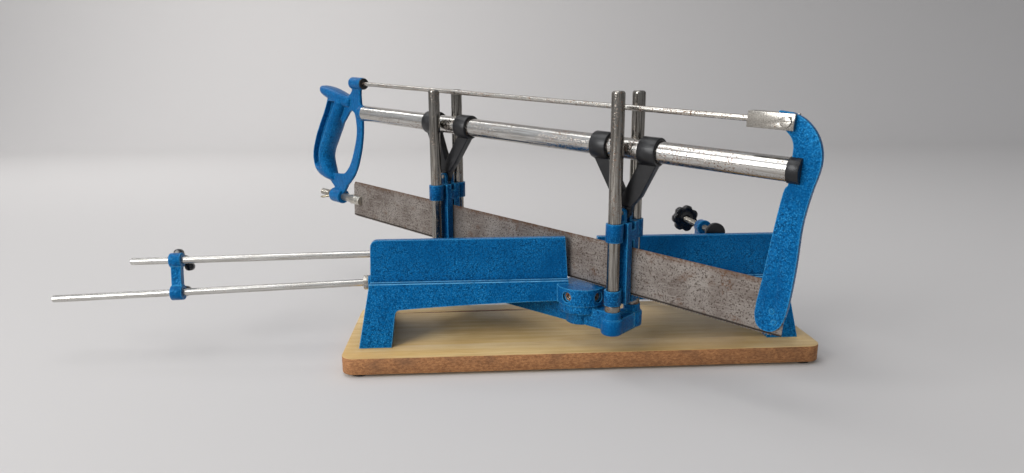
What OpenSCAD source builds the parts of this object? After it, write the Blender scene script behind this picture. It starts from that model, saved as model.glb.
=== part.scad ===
/* [Baseboard] */
// Length of the board along the fence
board_l = 461; // [450:1:520]
// Depth of the board
board_w = 150; // [140:1:180]
// Thickness of the board
board_t = 16; // [12:0.5:22]
// Distance from the pivot axis to the rear edge of the board
board_rear = 36; // [28:1:44]
// Radius of the board's corners
board_corner_r = 13; // [6:1:20]
// Diameter of the rubber feet
foot_d = 16; // [12:1:20]
// Height of the rubber feet
foot_h = 3; // [2:0.5:6]

/* [Base casting] */
// Half length of the casting at its feet
base_half_l = 216.6; // [212:0.1:220]
// How far the walls lean in from foot to table
wall_lean = 11; // [4:0.5:14]
// Height of the work table above the board
table_h = 60.6; // [58:0.1:66]
// Thickness of the table plate
table_t = 6; // [4:0.5:8]
// Distance from the pivot axis to the front edge of the table
table_front = 75; // [68:1:82]
// Height of the fence above the table
fence_h = 42; // [30:0.5:50]
// Thickness of the fence
fence_t = 6.4; // [4:0.2:9]
// Distance from the pivot axis to the rear face of the fence
fence_rear = 5.6; // [4.6:0.1:8]
// Half of the gap between the two fence wings at the table
fence_gap = 12.8; // [11:0.2:16]
// Thickness of the casting's walls
wall_t = 6; // [4:0.5:8]
// Width of a leg at the board
leg_w = 31; // [24:1:36]
// Depth of a rear leg
leg_d = 15; // [10:1:20]
// Height of the arch at the legs
arch_h = 35.5; // [28:0.5:37]
// Rise of the arch between leg and hub
arch_rise = 5.5; // [2:0.5:6]

/* [Hub and quadrant] */
// Diameter of the hub
hub_d = 48; // [40:1:54]
// Height of the hub's top above the board
hub_top = 57.3; // [55:0.1:57.5]
// Height of the hub's underside above the board
hub_bottom = 40.6; // [40.2:0.1:43]
// Diameter of the pivot pin
pivot_d = 10; // [8:0.5:12]
// Inner radius of the angle quadrant
quad_in_r = 128; // [124:1:132]
// Outer radius of the angle quadrant
quad_out_r = 152; // [148:1:154]
// Height of the quadrant's underside above the board
quad_z = 30.4; // [30:0.1:32]
// Thickness of the quadrant
quad_t = 11; // [8:0.5:12]

/* [Swing arm] */
// Angle of the arm as stored, to the left
swing = 45; // [-45:1:45]
// Distance from the pivot to the rear posts
rear_reach = 46.8; // [44:0.1:52]
// Distance from the pivot to the front posts
front_reach = 187.4; // [184:0.1:200]
// Distance between the two posts of a pair
post_pitch = 33.7; // [33:0.1:38]
// Diameter of the posts
post_d = 12; // [10:0.1:12.4]
// Height of the post tops above the board
post_top = 242; // [225:1:260]
// Diameter of the post sockets
socket_d = 20; // [18:0.5:22]
// Height of the socket's wide part above the board
socket_z = 36.6; // [32:0.1:38]
// Height of the socket's top above the board
socket_top = 43.9; // [41:0.1:44.2]
// Height of the arm's underside above the board
arm_z = 19.8; // [18:0.1:21]
// Width of the arm
arm_w = 19; // [16:1:22]
// Height of the arm's top above the board
arm_top = 38.4; // [34:0.1:39]
// Thickness of the stop washers on the posts
stop_washer_t = 5.7; // [4:0.1:7]

/* [Carriages and guides] */
// Height of a carriage
carriage_h = 76.1; // [73:0.1:90]
// Outer diameter of the sliding rings
ring_d = 16; // [15:0.5:17]
// Height of the upper rings
upper_ring_h = 17; // [12:0.2:24]
// Height of the lower rings
lower_ring_h = 14.1; // [10:0.1:20]
// Width of the fork plates
fork_w = 19; // [14:1:24]
// Width of the slot for the blade
blade_slot = 3; // [2.2:0.1:4]
// Height of the guide pin above the top of the rings
pin_rise = 8; // [7:0.5:9]
// Distance between the two rings of a guide
guide_pitch = 50; // [44:1:60]
// How far the guide's rings lean in from its pin
guide_lean = 3.3; // [0:0.1:5]
// Width of a guide ring
guide_ring_w = 17; // [12:1:20]
// Outer diameter of a guide ring
guide_ring_d = 25; // [23:0.5:28]
// Thickness of the guide's arms
guide_t = 8; // [6:0.5:10]

/* [Saw frame] */
// Tilt of the saw as stored, handle end up
tilt = 3.1; // [0:0.1:4]
// Height of the teeth above the board at the pivot
teeth_h = 60.2; // [60:0.1:66]
// Diameter of the frame tube
tube_d = 19; // [16:0.5:19.4]
// Wall of the frame tube
tube_wall = 1.5; // [1:0.1:2.5]
// Height of the tube above the teeth
tube_h = 134; // [125:1:145]
// Distance from the pivot to the horn end of the tube
tube_horn_end = 183.5; // [176:0.5:186]
// Distance from the pivot to the handle end of the tube
tube_handle_end = 339.5; // [330:0.5:350]
// Height of the tension rod above the teeth
rod_h = 169.6; // [164:0.2:176]
// Diameter of the tension rod
rod_d = 5; // [4:0.5:7]
// Thickness of the horn plate
horn_t = 5; // [3:0.5:7]
// Width of the horn at mid height
horn_w = 20.5; // [18:0.5:26]
// Thickness of the handle's strut
strut_t = 4.6; // [4:0.1:8]
// Thickness of the grip
grip_t = 27; // [20:1:30]

/* [Blade] */
// Height of the blade
blade_w = 45; // [38:1:47]
// Thickness of the blade
blade_t = 1; // [0.7:0.1:1.4]
// Distance from the pivot to the blade's horn end
blade_horn_end = 195; // [192:1:198]
// Distance from the pivot to the blade's handle end
blade_handle_end = 366; // [360:1:372]
// Distance from one tooth to the next
tooth_pitch = 2.5; // [2:0.1:6]
// Depth of the teeth
tooth_depth = 1.1; // [0.6:0.1:1.8]

/* [Work clamp] */
// Place of the clamp along the fence
clamp_x = 133; // [125:1:150]
// Distance from the pivot line to the clamp's swivel
clamp_y = 50; // [46:1:56]
// Height of the clamp screw above the board
clamp_h = 102; // [92:1:106]
// Skew of the clamp as stored
clamp_skew = 5.4; // [0:0.1:8]
// Diameter of the clamp screw
clamp_screw_d = 6; // [5:0.5:8]
// Distance from the swivel to the pad's centre
clamp_pad_out = 31.5; // [28:0.5:32]
// Distance from the swivel to the knob's centre
clamp_knob_out = 42.8; // [38:0.2:46]
// Diameter of the star knobs
knob_d = 29; // [24:1:32]
// Diameter of the clamp pad
pad_d = 20; // [14:1:24]

/* [Length stop] */
// Distance from the pivot line to the stop rods
stop_y = 35; // [28:1:42]
// Height of the fixed rod at the casting above the board
fixed_rod_h = 53; // [46:0.5:53]
// Droop of the fixed stop rod
rod_droop = 1.9; // [0:0.1:2.5]
// Diameter of the stop rods
stop_rod_d = 7; // [5:0.5:8]
// Distance between the two stop rods
stop_pitch = 32; // [26:0.2:40]
// Free length of the fixed rod
fixed_rod_l = 309; // [260:1:340]
// Distance along the fixed rod to the link
link_out = 188.4; // [60:0.2:240]
// Width of the link
link_w = 11.4; // [9:0.2:16]
// Length of the sliding stop rod
stop_rod_l = 330; // [300:1:360]
// How far the sliding rod stands out past the link
stop_rod_out = 44; // [10:1:120]
// Lean of the link round the fixed rod
link_lean = 13; // [0:1:20]
// Sag of the sliding rod in its link
rod_sag = 1.1; // [0:0.1:1.5]

/* [Hidden] */
$fn = 48;

// Colours of the sub-parts
enamel = "#1b66a6";
chrome = "#c9ccd0";
steel = "#a9a59c";
plastic = "#1c1c1e";

// Clearances
run = 0.1;          // a shaft that turns or slides in its bore, on the radius
snug = 0.05;        // a pin that is pressed home, on the radius
gap = 0.3;          // between pieces that pass without touching
cut = 1;            // how far a cutting tool stands out

// Where things lie
pin_h = socket_top + stop_washer_t + gap + carriage_h + pin_rise;
carriage_z = pin_h - pin_rise - carriage_h;
front_lift = (front_reach + rear_reach) * tan(tilt);
pin_q = -rear_reach * cos(tilt) + (pin_h - teeth_h) * sin(tilt);
pin_hh = (pin_h - teeth_h) * cos(tilt) + rear_reach * sin(tilt);
guide_gap = (front_reach + rear_reach) / cos(tilt);
lean = wall_lean / table_h;
table_half_l = base_half_l - wall_lean;
fence_front = fence_rear + fence_t;
fence_top = table_h + fence_h;
fence_end = table_half_l - 2;
skirt_y = fence_rear - 5.2;
rear_foot_y = skirt_y - wall_lean;
front_foot_y = board_w - board_rear - 24;
lock_h = quad_z + quad_t / 2;
hub_mid = (hub_top + hub_bottom) / 2;

// Screws, pins and washers
screw_d = 5;
screw_head_h = 3.4;
screw_sink = 4.5;
screw_hole_h = 11;
hub_screw_angles = [-136, -56];
hub_screw_d = 8;
hub_screw_sink = 3.5;
socket_screw_d = 5;
socket_screw_h = 29;
pivot_head_d = 18;
pivot_head_h = 4;
pivot_head_sink = 2.6;
washer_t = 1.6;
guide_pin_d = 4;
blade_pin_d = 4;
block_screw_d = 5;
lock_screw_d = 8;
stud_d = 8;
thumb_d = 5;
nut_h = 5;
stop_boss_l = 7;
stop_boss_d = 14.4;
front_play = 1;
socket_lift = 2;
post_floor = arm_z + socket_lift + 2;
tooth_count = floor((blade_horn_end + blade_handle_end - 12) / tooth_pitch);

// A curve through control points, with a few steps between each pair
function along(p, i) = p[max(0, min(len(p) - 1, i))];
function blend_point(a, b, c, d, t) =
    0.5 * (2 * b + (c - a) * t + (2 * a - 5 * b + 4 * c - d) * t * t
    + (3 * b - a - 3 * c + d) * t * t * t);
function curve(p, steps = 5) = [for (i = [0:len(p) - 2], s = [0:steps - 1])
    blend_point(along(p, i - 1), p[i], p[i + 1], along(p, i + 2), s / steps), along(p, len(p))];

// Frames: the board's underside on its feet, the board's top, the swing arm with y along it
// and the saw with y along the blade
module on_feet() {
    translate([0, 0, foot_h]) children();
}

module on_board() {
    on_feet() translate([0, 0, board_t]) children();
}

module on_arm() {
    on_board() rotate([0, 0, swing]) children();
}

module on_saw() {
    on_arm() translate([0, 0, teeth_h]) rotate([tilt, 0, 0]) children();
}

// Small shapes used by several sub-parts
module rod_y(d, y1, y2) {
    translate([0, y1, 0]) rotate([-90, 0, 0]) cylinder(d = d, h = y2 - y1);
}

module rod_x(d, x1, x2) {
    translate([x1, 0, 0]) rotate([0, 90, 0]) cylinder(d = d, h = x2 - x1);
}

module profile_x(width) {
    rotate([90, 0, 90]) linear_extrude(width, center = true) children();
}

module hex_nut_x(af, x1, x2, bore) {
    translate([x1, 0, 0]) rotate([0, 90, 0]) difference() {
        cylinder(d = af / cos(30), h = x2 - x1, $fn = 6);
        translate([0, 0, -cut]) cylinder(d = bore, h = x2 - x1 + 2 * cut);
    }
}

module set_screw_z(d, length) {
    hex_depth = 2.4;
    difference() {
        cylinder(d = d, h = length);
        translate([0, 0, length - hex_depth])
            cylinder(d = d * 0.52 / cos(30), h = hex_depth + cut, $fn = 6);
    }
}

module star_knob_y(d, width, bore) {
    lobes = 7;
    lobe_d = d * 0.24;
    rotate([-90, 0, 0]) difference() {
        union() {
            translate([0, 0, -width / 2]) cylinder(d = d * 0.84, h = width);
            for (i = [0:lobes - 1])
                rotate([0, 0, i * 360 / lobes]) translate([(d - lobe_d) / 2, 0, -width / 2 + 0.5])
                    cylinder(d = lobe_d, h = width - 1, $fn = 24);
        }
        translate([0, 0, -width / 2 - cut]) cylinder(d = bore, h = width + 2 * cut);
    }
}

module wings_z(hub, span, height, thick) {
    for (side = [-1, 1])
        rotate([90, 0, side < 0 ? 180 : 0]) linear_extrude(thick, center = true)
            polygon([[hub / 2 - 1, 0.4], [hub / 2 + 1.5, 0.4], [span / 2, height * 0.45],
                [span / 2, height], [span / 2 - 3.5, height + 1.5], [hub / 2 - 1, height * 0.6]]);
}

// Baseboard and its feet
module rounded_board(l, w, r, t) {
    linear_extrude(t) {
        translate([r, 0]) square([l - 2 * r, w]);
        translate([0, r]) square([l, w - 2 * r]);
        for (x = [r, l - r], y = [r, w - r])
            translate([x, y]) circle(r = r);
    }
}

function casting_screw_places() = [for (side = [-1, 1], y = [0, 1])
    [side * (base_half_l - leg_w / 2), y == 0 ? rear_foot_y + leg_d / 2 : front_foot_y]];

module baseboard() {
    color("#c9a878") difference() {
        translate([-board_l / 2, -board_rear, 0])
            rounded_board(board_l, board_w, board_corner_r, board_t);
        for (p = casting_screw_places())
            translate([p[0], p[1], -cut]) {
                cylinder(d = screw_d + 2 * snug, h = board_t + 2 * cut);
                cylinder(d = 2 * screw_d + 1, h = screw_sink + cut);
            }
    }
}

module board_feet() {
    color("#26221f")
        for (side = [-1, 1], y = [foot_d / 2 + 3, board_w - foot_d / 2 - 3])
            translate([side * (board_l / 2 - foot_d / 2 - 8), y - board_rear, -foot_h])
                cylinder(d = foot_d, h = foot_h);
}

// Base casting: table, fence, legs, hub and quadrant in one piece
module lean_box(y1, y2, z1, z2, inset = 0) {
    rotate([90, 0, 0]) translate([0, 0, -y2]) linear_extrude(y2 - y1)
        polygon([for (p = [[1, z1], [1, z2], [-1, z2], [-1, z1]])
            [p[0] * (base_half_l - lean * p[1] - inset), p[1]]]);
}

module skirt() {
    profile_x(2 * base_half_l + 2)
        polygon([[rear_foot_y, 0], [rear_foot_y + leg_d, 0],
            [rear_foot_y + leg_d, arch_h - 8], [skirt_y + wall_t, arch_h],
            [skirt_y + wall_t, table_h - 1], [skirt_y + wall_t, table_h], [skirt_y, table_h]]);
}

module arch_cut() {
    inner = base_half_l - leg_w;
    top = inner - 7;
    corner = 5;
    rotate([90, 0, 0]) translate([0, 0, -table_front - 40])
        linear_extrude(table_front + 80)
            polygon(concat([[-inner, -cut], [-inner + 4, arch_h - corner]],
                [for (a = [1:3]) [-top - corner * cos(a * 30) + 2, arch_h - corner * (1 - sin(a * 30))]],
                [for (i = [-9:9]) [i * top / 10, arch_h + arch_rise * (1 - pow(i / 10, 2))]],
                [for (a = [3:-1:1]) [top + corner * cos(a * 30) - 2, arch_h - corner * (1 - sin(a * 30))]],
                [[inner - 4, arch_h - corner], [inner, -cut]]));
}

module fan(r, half_angle, z1, z2) {
    translate([0, 0, z1]) linear_extrude(z2 - z1)
        polygon([[-fence_gap, -60], [fence_gap, -60], [fence_gap, fence_front],
            [r * tan(half_angle), r], [-r * tan(half_angle), r], [-fence_gap, fence_front]]);
}

module end_walls() {
    end_front = front_foot_y + 12;
    toe_h = 12;
    boss_d = 16;
    boss_h = 14;
    difference() {
        intersection() {
            lean_box(rear_foot_y, end_front, 0, table_h);
            profile_x(3 * base_half_l)
                polygon([[rear_foot_y, 0], [end_front, 0], [end_front, toe_h], [table_front, table_h],
                    [skirt_y, table_h]]);
        }
        lean_box(rear_foot_y - cut, end_front + cut, -cut, table_h + cut, wall_t);
    }
    for (side = [-1, 1])
        translate([side * (base_half_l - leg_w / 2), front_foot_y, 0])
            intersection() {
                union() {
                    cylinder(d = boss_d, h = boss_h);
                    translate([side > 0 ? 0 : -leg_w / 2, -boss_d / 2, 0])
                        cube([leg_w / 2, boss_d, boss_h]);
                }
                translate([-side * (base_half_l - leg_w / 2), -front_foot_y, 0])
                    lean_box(front_foot_y - boss_d, front_foot_y + boss_d, 0, table_h);
            }
}

// Each wing has a rounded top corner, and a bevel at the mouth that the blade clears at 45 degrees
module fence() {
    root = table_h - 2;
    corner = 6.5;
    bevel = 2.2;
    difference() {
        rotate([90, 0, 0]) translate([0, 0, -fence_front]) linear_extrude(fence_t)
            for (side = [-1, 1])
                polygon(concat([[side * fence_gap, root], [side * (fence_gap + 3), fence_top]],
                    [for (a = [90:-15:0])
                        [side * (fence_end - corner * (1 - cos(a))), fence_top - corner * (1 - sin(a))]],
                    [[side * (table_half_l - 0.6), root]]));
        translate([0, 0, table_h]) linear_extrude(fence_h + cut)
            polygon([[0, fence_front - bevel - fence_gap],
                for (side = [1, -1]) [side * (fence_gap + bevel + cut), fence_front + cut]]);
    }
}

// A ring sector under the table, with its scale's notches on top
click_angles = [-45, -36, -30, -22.5, -15, 0, 15, 22.5, 30, 36, 45];

module quadrant() {
    half_span = 62;
    open_span = 51;
    far = 2 * quad_out_r;
    notch = [0.8, 9, 0.6];
    difference() {
        translate([0, 0, quad_z]) cylinder(r = quad_out_r, h = table_h - quad_z, $fn = 96);
        translate([0, 0, quad_z - cut]) cylinder(r = quad_in_r, h = table_h, $fn = 96);
        translate([0, 0, quad_z - cut]) linear_extrude(table_h)
            polygon([[0, 0], far * [-sin(half_span), cos(half_span)], [-far, -far], [far, -far],
                far * [sin(half_span), cos(half_span)]]);
        translate([0, 0, quad_z + quad_t]) linear_extrude(table_h)
            polygon([[0, 0], far * [-sin(open_span), cos(open_span)],
                far * [sin(open_span), cos(open_span)]]);
        for (a = click_angles)
            rotate([0, 0, a]) translate([-notch[0] / 2, quad_out_r - notch[1], quad_z + quad_t - notch[2]])
                cube([notch[0], notch[1] + cut, notch[2] + cut]);
    }
}

module base_casting() {
    clear_h = 30;
    hub_roof = 3;
    color(enamel) difference() {
        union() {
            difference() {
                union() {
                    intersection() {
                        skirt();
                        lean_box(rear_foot_y - cut, leg_d + 20, 0, table_h);
                    }
                    difference() {
                        lean_box(skirt_y, table_front, table_h - table_t, table_h);
                        fan(table_front + cut, 50, table_h - table_t - cut, table_h + cut);
                    }
                }
                arch_cut();
                translate([0, 0, hub_top]) linear_extrude(fence_top)
                    square([2 * fence_gap, table_front], center = true);
            }
            end_walls();
            fence();
            quadrant();
            translate([0, 0, hub_bottom]) cylinder(d = hub_d, h = hub_top - hub_bottom);
            stop_boss();
        }
        translate([0, 0, hub_bottom - clear_h]) cylinder(d = hub_d + 8, h = clear_h);
        translate([0, 0, hub_bottom - cut])
            cylinder(d = pivot_d + 2 * snug, h = hub_top - hub_bottom - hub_roof + cut);
        for (a = hub_screw_angles)
            rotate([0, 0, a]) translate([0, 0, hub_mid]) {
                rod_x(hub_screw_d + 2 * snug, 0, hub_d);
                rod_x(hub_screw_d + 2, hub_d / 2 - hub_screw_sink, hub_d);
            }
        for (p = casting_screw_places())
            translate([p[0], p[1], -cut]) cylinder(d = screw_d + 2 * snug, h = screw_hole_h + cut);
        on_stop_rod() rod_x(stop_rod_d + 2 * snug, -20, stop_rod_in + 0.2);
        translate([clamp_x, clamp_y, table_h - table_t - cut])
            cylinder(d = clamp_screw_d + 2 * run, h = table_t + 2 * cut);
    }
}

// The fixed stop rod's line starts at the outer face of its boss on the left end wall
module on_stop_rod() {
    translate([-(base_half_l - lean * fixed_rod_h) - stop_boss_l / 2, stop_y, fixed_rod_h])
        rotate([0, -rod_droop, 0]) children();
}

stop_rod_in = 16;

module stop_boss() {
    on_stop_rod() rod_x(stop_boss_d, 0, stop_rod_in + 6);
}

module casting_screws() {
    color(steel)
        for (p = casting_screw_places())
            translate([p[0], p[1], screw_sink - screw_head_h - 0.1]) {
                cylinder(d = screw_d, h = board_t + screw_hole_h - 2);
                difference() {
                    cylinder(d = 2 * screw_d, h = screw_head_h);
                    translate([0, 0, -cut]) cylinder(d = 3, h = 2 + cut, $fn = 6);
                }
            }
}

module pivot_pin() {
    color(steel) {
        translate([0, 0, arm_z - pivot_head_h + pivot_head_sink])
            cylinder(d = pivot_head_d, h = pivot_head_h);
        translate([0, 0, arm_z]) cylinder(d = pivot_d, h = hub_top - 4 - arm_z);
    }
}

module pivot_washer() {
    color(chrome) translate([0, 0, arm_z + pivot_head_sink + 0.02]) difference() {
        cylinder(d = pivot_head_d, h = washer_t - 0.2);
        translate([0, 0, -cut]) cylinder(d = pivot_d + 2 * run, h = washer_t + 2 * cut);
    }
}

module hub_set_screws() {
    length = hub_d / 2 - pivot_d / 2 - hub_screw_sink - snug;
    color("#8a5a3c")
        for (a = hub_screw_angles)
            rotate([0, 0, a]) translate([pivot_d / 2 + snug, 0, hub_mid])
                rotate([0, 90, 0]) set_screw_z(hub_screw_d, length);
}

module fixed_stop_rod() {
    color(chrome) on_stop_rod() {
        rod_x(stop_rod_d, -fixed_rod_l + 0.8, stop_rod_in);
        rod_x(stop_rod_d - 1.6, -fixed_rod_l, stop_rod_in);
    }
}

module stop_rod_nut() {
    color(steel) on_stop_rod() hex_nut_x(13, -nut_h, -0.02, stop_rod_d + 2 * snug);
}

// Swing arm with its posts
module socket(x, y) {
    edge = 2.4;
    floor_z = arm_z + socket_lift;
    translate([x, y, floor_z + edge]) cylinder(d = socket_d, h = socket_z - floor_z - edge);
    translate([x, y, floor_z]) cylinder(d = socket_d - 2 * edge, h = edge);
    translate([x, y, floor_z + edge]) rotate_extrude() translate([socket_d / 2 - edge, 0]) circle(r = edge);
    translate([x, y, socket_z - 1]) cylinder(d = ring_d, h = socket_top - socket_z + 1);
}

module post_places() {
    for (x = [-post_pitch / 2, post_pitch / 2], y = [-rear_reach, front_reach])
        translate([x, y, 0]) children();
}

hub_seat = 32;
lock_barrel_end = front_reach + 12;

module swing_arm() {
    low_top = quad_z - 1.1;
    step_in = quad_in_r - 10;
    step_out = quad_out_r + 6;
    bar_w = 14;
    boss_d = 30;
    rib = 3.5;
    color(enamel) difference() {
        union() {
            translate([-arm_w / 2, -rear_reach, arm_z])
                cube([arm_w, step_in + rear_reach, arm_top - arm_z]);
            translate([-arm_w / 2, step_in - 1, arm_z])
                cube([arm_w, step_out - step_in + 2, low_top - arm_z]);
            translate([-arm_w / 2, step_out, arm_z])
                cube([arm_w, front_reach - step_out, socket_top - arm_z - 1]);
            for (y = [-rear_reach, front_reach])
                translate([-post_pitch / 2, y - bar_w / 2, arm_z + socket_lift])
                    cube([post_pitch, bar_w, arm_top - arm_z - socket_lift - 2]);
            translate([0, 0, arm_z]) cylinder(d = boss_d, h = hub_bottom - gap - arm_z);
            translate([0, 0, hub_seat]) cylinder(d = hub_d - 4, h = hub_bottom - gap - hub_seat);
            translate([0, 0, lock_h]) rod_y(lock_screw_d + 5, step_out, lock_barrel_end);
            for (x = [-post_pitch / 2, post_pitch / 2], y = [-rear_reach, front_reach])
                socket(x, y);
        }
        translate([0, 0, arm_z - cut]) cylinder(d = pivot_d + 2 * run, h = hub_bottom);
        translate([0, 0, arm_z - cut])
            cylinder(d = pivot_head_d + 2 * gap + 1, h = pivot_head_sink + washer_t + cut);
        post_places() translate([0, 0, post_floor]) cylinder(d = post_d + 2 * snug, h = 60);
        for (y = [[-boss_d, -boss_d / 2 - 3], [boss_d / 2 + 3, step_in - 8]])
            translate([-arm_w / 2 + rib, y[0], arm_z - cut])
                cube([arm_w - 2 * rib, y[1] - y[0], arm_top - 4 - arm_z + cut]);
        translate([0, 0, lock_h]) rod_y(lock_screw_d + 2 * run, step_out - cut, lock_barrel_end + cut);
        for (x = [-1, 1], y = [-rear_reach, front_reach])
            translate([x * post_pitch / 2, y, socket_screw_h])
                rod_y(socket_screw_d + 2 * snug, y < 0 ? 0 : -socket_d, y < 0 ? socket_d : 0);
    }
}

module post(top) {
    round_r = 2.5;
    translate([0, 0, post_floor]) {
        cylinder(d = post_d, h = top - post_floor - round_r);
        cylinder(d = post_d - 2 * round_r, h = top - post_floor);
        translate([0, 0, top - post_floor - round_r])
            rotate_extrude() translate([post_d / 2 - round_r, 0]) circle(r = round_r);
    }
}

module rear_posts() {
    color(chrome)
        for (x = [-post_pitch / 2, post_pitch / 2])
            translate([x, -rear_reach, 0]) post(post_top);
}

module front_posts() {
    color(chrome)
        for (x = [-post_pitch / 2, post_pitch / 2])
            translate([x, front_reach, 0]) post(post_top);
}

module post_set_screws() {
    length = (socket_d - post_d) / 2 - 0.6;
    color("#3a3a3c")
        for (x = [-1, 1], y = [-rear_reach, front_reach])
            translate([x * post_pitch / 2, y - sign(y) * (post_d / 2 + snug), socket_screw_h])
                rotate([y < 0 ? -90 : 90, 0, 0]) set_screw_z(socket_screw_d, length);
}

module stop_washers() {
    color(steel) post_places() translate([0, 0, socket_top]) difference() {
        cylinder(d = 14.4, h = stop_washer_t);
        translate([0, 0, -cut]) cylinder(d = post_d + 2 * snug, h = stop_washer_t + 2 * cut);
    }
}

// Lock at the front of the arm: pad, screw and star knob
lock_pad_y = quad_out_r + gap;
lock_pad_t = 4;
lock_tip_d = 5;
lock_knob_y = lock_barrel_end + 4;

module lock_pad() {
    color(steel) translate([0, 0, lock_h]) difference() {
        rod_y(10, lock_pad_y, lock_pad_y + lock_pad_t);
        rod_y(lock_tip_d, lock_pad_y + 1.8, lock_pad_y + lock_pad_t + cut);
    }
}

module lock_screw() {
    color(chrome) translate([0, 0, lock_h]) {
        rod_y(lock_tip_d - 2 * run, lock_pad_y + 2, lock_pad_y + lock_pad_t + 1);
        rod_y(lock_screw_d, lock_pad_y + lock_pad_t + 0.2, lock_knob_y + 10);
    }
}

module lock_knob() {
    color(plastic) translate([0, lock_knob_y + 8, lock_h]) star_knob_y(knob_d, 14, lock_screw_d + 2 * snug);
}

// Carriages: a fork over the blade with two rings on each post
module carriage() {
    top = carriage_h;
    fork_t = (post_pitch - post_d) / 2 - blade_slot / 2 - 1.2;
    ear_gap = 5.2;
    ear_t = 4;
    ear_w = 8;
    color(enamel) difference() {
        union() {
            for (side = [-1, 1])
                translate([side * (blade_slot + fork_t) / 2 - fork_t / 2, -fork_w / 2, 0])
                    cube([fork_t, fork_w, top]);
            for (x = [-post_pitch / 2, post_pitch / 2])
                translate([x, 0, 0]) {
                    cylinder(d = ring_d, h = lower_ring_h);
                    translate([0, 0, top - upper_ring_h]) cylinder(d = ring_d, h = upper_ring_h);
                }
            translate([-5, -fork_w / 2, top - upper_ring_h]) cube([10, fork_w, upper_ring_h - 7]);
            for (side = [-1, 1])
                translate([side * (ear_gap + ear_t) / 2, 0, top - 1]) {
                    translate([-ear_t / 2, -ear_w / 2, 0]) cube([ear_t, ear_w, pin_rise + 1]);
                    translate([0, 0, pin_rise + 1]) rod_x(ear_w, -ear_t / 2, ear_t / 2);
                }
        }
        for (x = [-post_pitch / 2, post_pitch / 2])
            translate([x, 0, -cut]) cylinder(d = post_d + 2 * run, h = top + 2 * cut);
        translate([-ear_gap / 2, -fork_w, top - 7]) cube([ear_gap, 2 * fork_w, 30]);
        translate([0, 0, top + pin_rise]) rod_x(guide_pin_d + 2 * snug, -20, 20);
    }
}

module rear_carriage() {
    translate([0, -rear_reach, carriage_z]) carriage();
}

module front_carriage() {
    translate([0, front_reach, carriage_z + front_lift]) carriage();
}

// Guides: a fork of two rings that slide on the tube, hung on a pin
module guide(side, play) {
    rise = tube_h - pin_hh;
    apex = 17.5;
    ring_low = rise - guide_ring_d / 2 + 3;
    in_w = guide_pitch / 2 - guide_ring_w / 2;
    out_w = guide_pitch / 2 + guide_ring_w / 2;
    shift = side * guide_lean;
    color(plastic) difference() {
        union() {
            for (y = [-guide_pitch / 2, guide_pitch / 2])
                translate([0, y + shift, rise]) rod_y(guide_ring_d, -guide_ring_w / 2, guide_ring_w / 2);
            profile_x(guide_t)
                polygon([[-7, 6], [-15.5, apex - 1], [shift - out_w, ring_low], [shift - in_w, ring_low],
                    [shift * 0.4, apex + 1], [shift + in_w, ring_low], [shift + out_w, ring_low],
                    [15.5, apex - 1], [7, 6]]);
            profile_x(4.8)
                polygon([[-8, 9], [-6, -1], [6, -1], [8, 9]]);
            rod_x(12, -2.4, 2.4);
        }
        translate([0, 0, rise]) rod_y(tube_d + 2 * run, -guide_pitch, guide_pitch);
        for (y = [-play, play])
            translate([0, y, 0]) rod_x(guide_pin_d + 2 * run, -20, 20);
        if (play > 0)
            translate([-20, -play, -guide_pin_d / 2 - run]) cube([40, 2 * play, guide_pin_d + 2 * run]);
    }
}

module rear_guide() {
    translate([0, pin_q, pin_hh]) guide(1, 0);
}

module front_guide() {
    translate([0, pin_q + guide_gap, pin_hh]) guide(-1, front_play);
}

module rear_guide_pin() {
    color(chrome) translate([0, pin_q, pin_hh]) rod_x(guide_pin_d, -6.8, 6.8);
}

module front_guide_pin() {
    color(chrome) translate([0, pin_q + guide_gap, pin_hh]) rod_x(guide_pin_d, -6.8, 6.8);
}

// Saw frame
module frame_tube() {
    color(chrome) translate([0, 0, tube_h]) difference() {
        rod_y(tube_d, -tube_horn_end, tube_handle_end);
        rod_y(tube_d - 2 * tube_wall, -tube_horn_end - cut, tube_handle_end + cut);
    }
}

module tube_plug() {
    color(plastic) translate([0, 0, tube_h]) difference() {
        union() {
            rod_y(tube_d + 1.8, -tube_horn_end - plug_l, -tube_horn_end - 0.02);
            rod_y(tube_d - 2 * tube_wall - 2 * snug, -tube_horn_end - 1, -tube_horn_end + 16);
        }
        translate([-horn_t / 2 - snug, -tube_horn_end - 30, -20])
            cube([horn_t + 2 * snug, 30 - plate_gap + snug, 40]);
    }
}

plug_l = 9.5;
plate_gap = 1;

function horn_side(p) = [for (i = p) [-tube_horn_end - i[0], i[1]]];

module horn_plate() {
    inner = curve(horn_side([[-11, 27], [-9, 45], [-6, 80], [-2, 116], [plate_gap, 124],
        [plate_gap, 146], [0.5, 153], [-2, 158.5], [-6.5, 163]]));
    outer = curve(horn_side([[-2.5, 176.5], [6.5, 172.5], [15.5, 164], [21.3, 152], [22.5, 138],
        [18.5, 117], [horn_w - 5, 92], [horn_w - 5, 60], [horn_w - 6.4, 30], [11, 12], [4.5, 4.2],
        [-4, 3.6], [-9.5, 8], [-11.5, 16]]));
    color(enamel) difference() {
        profile_x(horn_t)
            polygon(concat(inner, horn_side([[-13.2, 165.6], [-13.2, 177.4]]), outer));
        profile_x(blade_t + 2 * snug)
            polygon(horn_side([[12.5, -1], [-30, -1], [-30, blade_w + gap], [12.5, blade_w + gap]]));
        for (p = horn_pin_places())
            translate([0, p[0], p[1]]) rod_x(blade_pin_d + 2 * snug, -20, 20);
        translate([0, -block_screw_q, rod_h]) rod_x(block_screw_d + 2 * snug, -20, 20);
    }
}

function horn_pin_places() = horn_side([[2.2, 20.8], [5, 12.3]]);

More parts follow.
